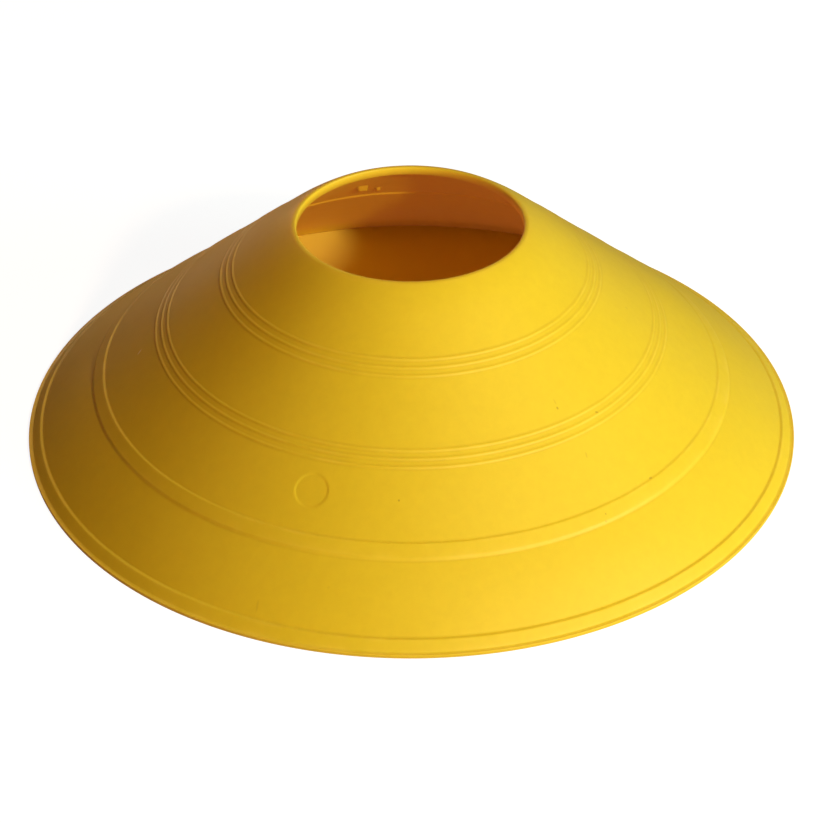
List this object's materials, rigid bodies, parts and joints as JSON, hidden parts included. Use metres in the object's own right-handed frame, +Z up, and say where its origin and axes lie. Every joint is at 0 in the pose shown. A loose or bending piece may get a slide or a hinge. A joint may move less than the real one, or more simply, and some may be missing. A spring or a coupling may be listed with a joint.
{
  "type": "sports marker cone",
  "caption": "Low saucer cone moulded in one flexible piece, open at the top and underneath, with raised rings round its slope; marks out sports training areas and nests in stacks.",
  "frame": {"origin": "centre of the base, on the ground", "axes": "+Z up along the axis of the cone; -Y towards the viewer of the picture, +X to the right"},
  "size_m": [0.19, 0.19, 0.0543],
  "materials": {
    "shell": "satin moulded polyethylene, yellow right through, slightly translucent, with fine scuffs"
  },
  "bodies": {
    "root": {"cone_shell": "shell"}
  },
  "joints": []
}
